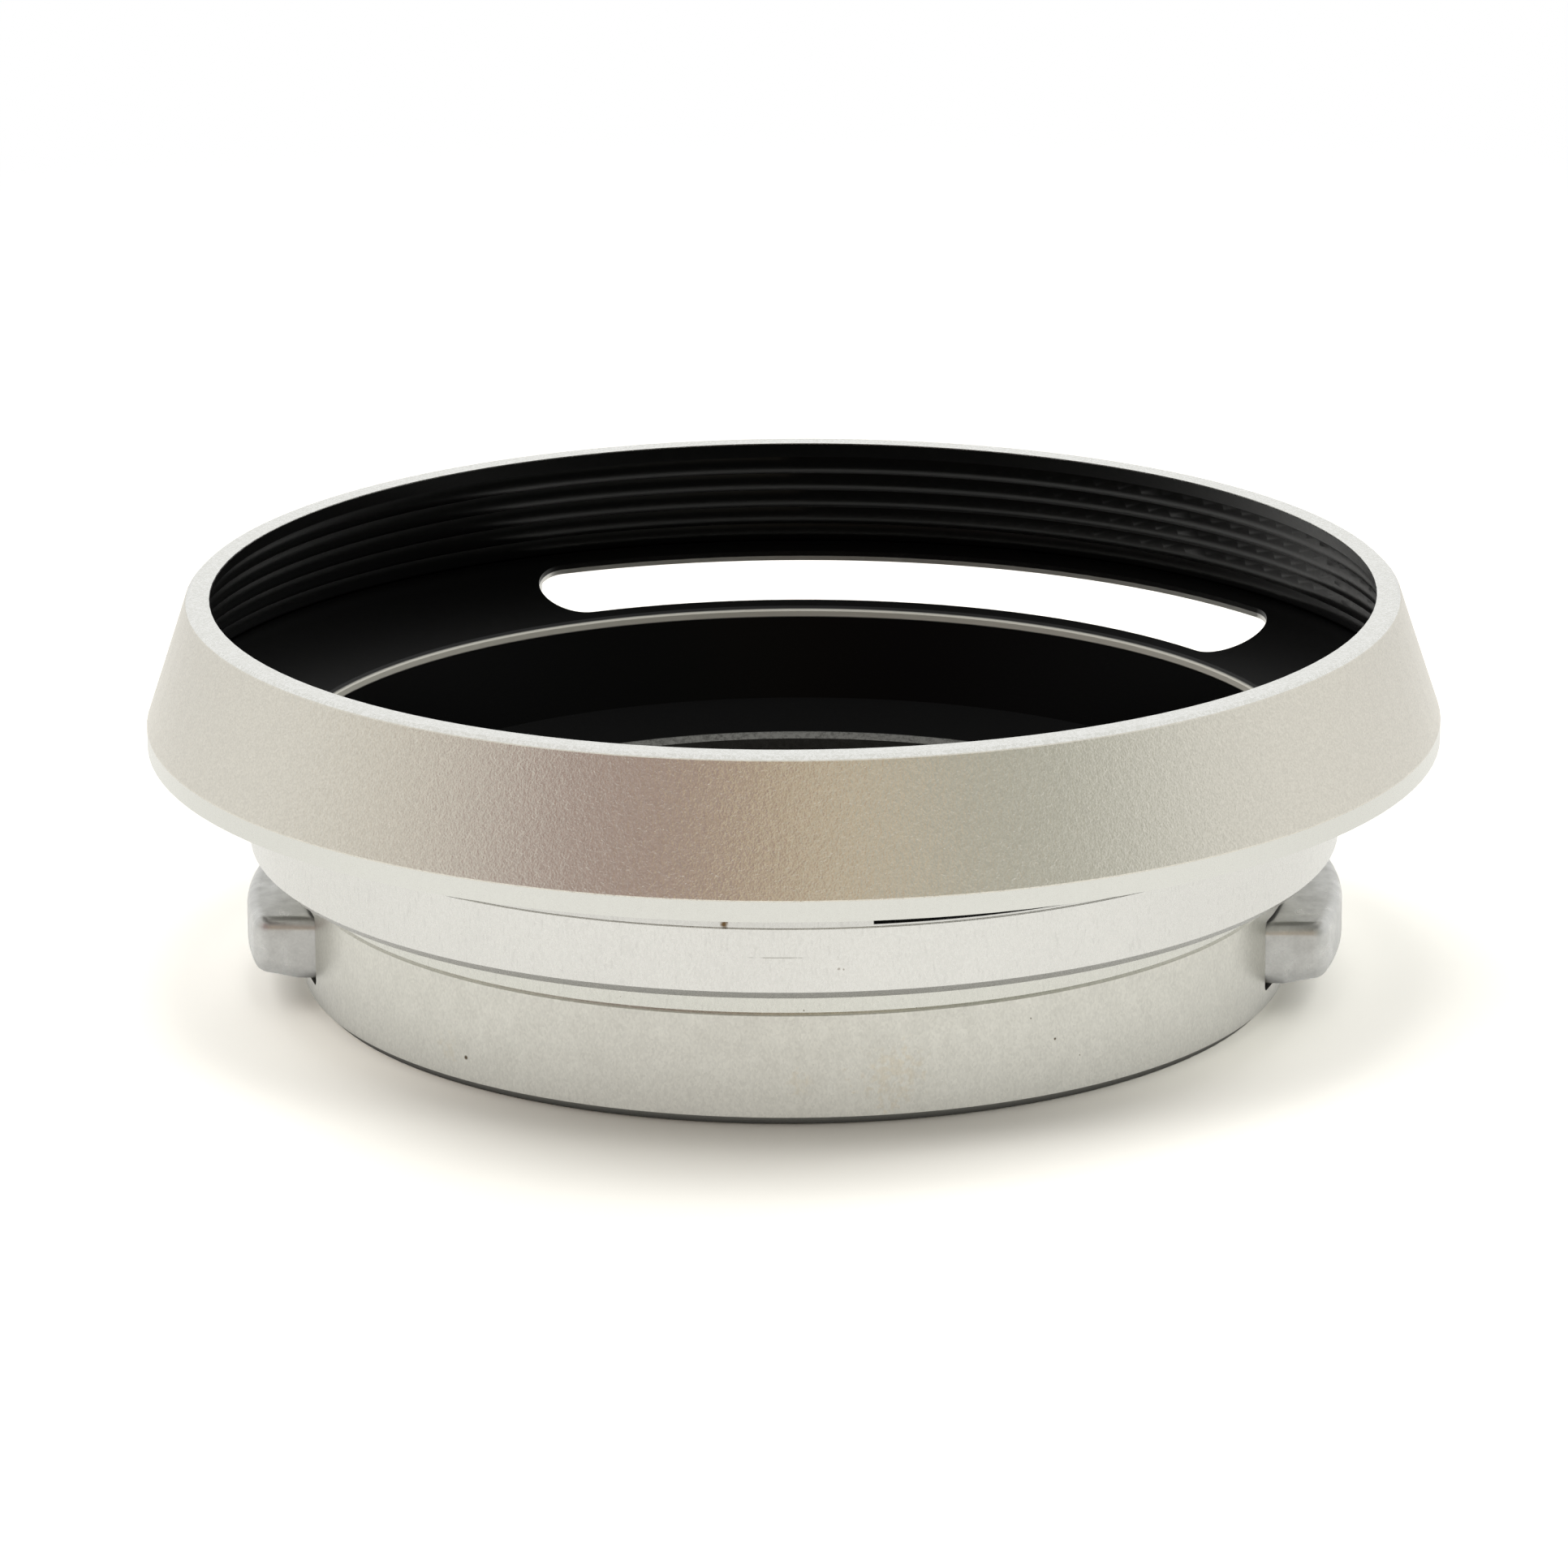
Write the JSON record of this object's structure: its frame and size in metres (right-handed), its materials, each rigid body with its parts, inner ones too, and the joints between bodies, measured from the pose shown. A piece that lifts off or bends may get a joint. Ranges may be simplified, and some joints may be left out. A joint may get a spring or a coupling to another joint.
{
  "type": "lens hood",
  "caption": "Vented round metal lens hood with a flared skirt, ridged black inside and a push-button clip mount",
  "frame": {"origin": "centre of the resting face at the mount end", "axes": "+Z along the optical axis towards the front rim, the two release buttons at +X and -X"},
  "size_m": [0.062, 0.062, 0.0192],
  "materials": {
    "satin_silver": "bead-blasted satin silver",
    "brushed_silver": "fine turned silver, faint upright grain",
    "satin_collar": "satin silver, slightly cooler",
    "matte_black": "matte black paint inside",
    "black_anodised": "black anodised",
    "blackened_steel": "blackened steel",
    "spring_steel": "bright spring steel",
    "shim_brass": "rolled brass shim",
    "button_metal": "polished nickel, lightly worn"
  },
  "bodies": {
    "hood": {"front_shade": "satin_silver", "baffle_funnel": "matte_black", "rear_barrel": "brushed_silver", "throat_ring": "matte_black", "guide_ring": "black_anodised", "lock_screws": "blackened_steel", "mount_collar": "satin_collar", "rear_cover_ring": "black_anodised", "slide_spacer": "shim_brass", "stop_pins": "spring_steel", "right_spring_front": "spring_steel", "right_spring_back": "spring_steel", "left_spring_front": "spring_steel", "left_spring_back": "spring_steel"},
    "right_catch": {"right_slide": "spring_steel", "right_button": "button_metal", "right_button_rivets": "spring_steel"},
    "left_catch": {"left_slide": "spring_steel", "left_button": "button_metal", "left_button_rivets": "spring_steel"}
  },
  "joints": [
    {"name": "right_press", "type": "slide", "parent": "hood", "child": "right_catch", "axis": [-1, 0, 0], "range_m": [0, 0.0008], "stiffness_N_per_m": 1200, "springref_m": -0.001, "deforming": ["right_spring_front", "right_spring_back"]},
    {"name": "left_press", "type": "slide", "parent": "hood", "child": "left_catch", "axis": [1, 0, 0], "range_m": [0, 0.0008], "stiffness_N_per_m": 1200, "springref_m": -0.001, "deforming": ["left_spring_front", "left_spring_back"]}
  ]
}
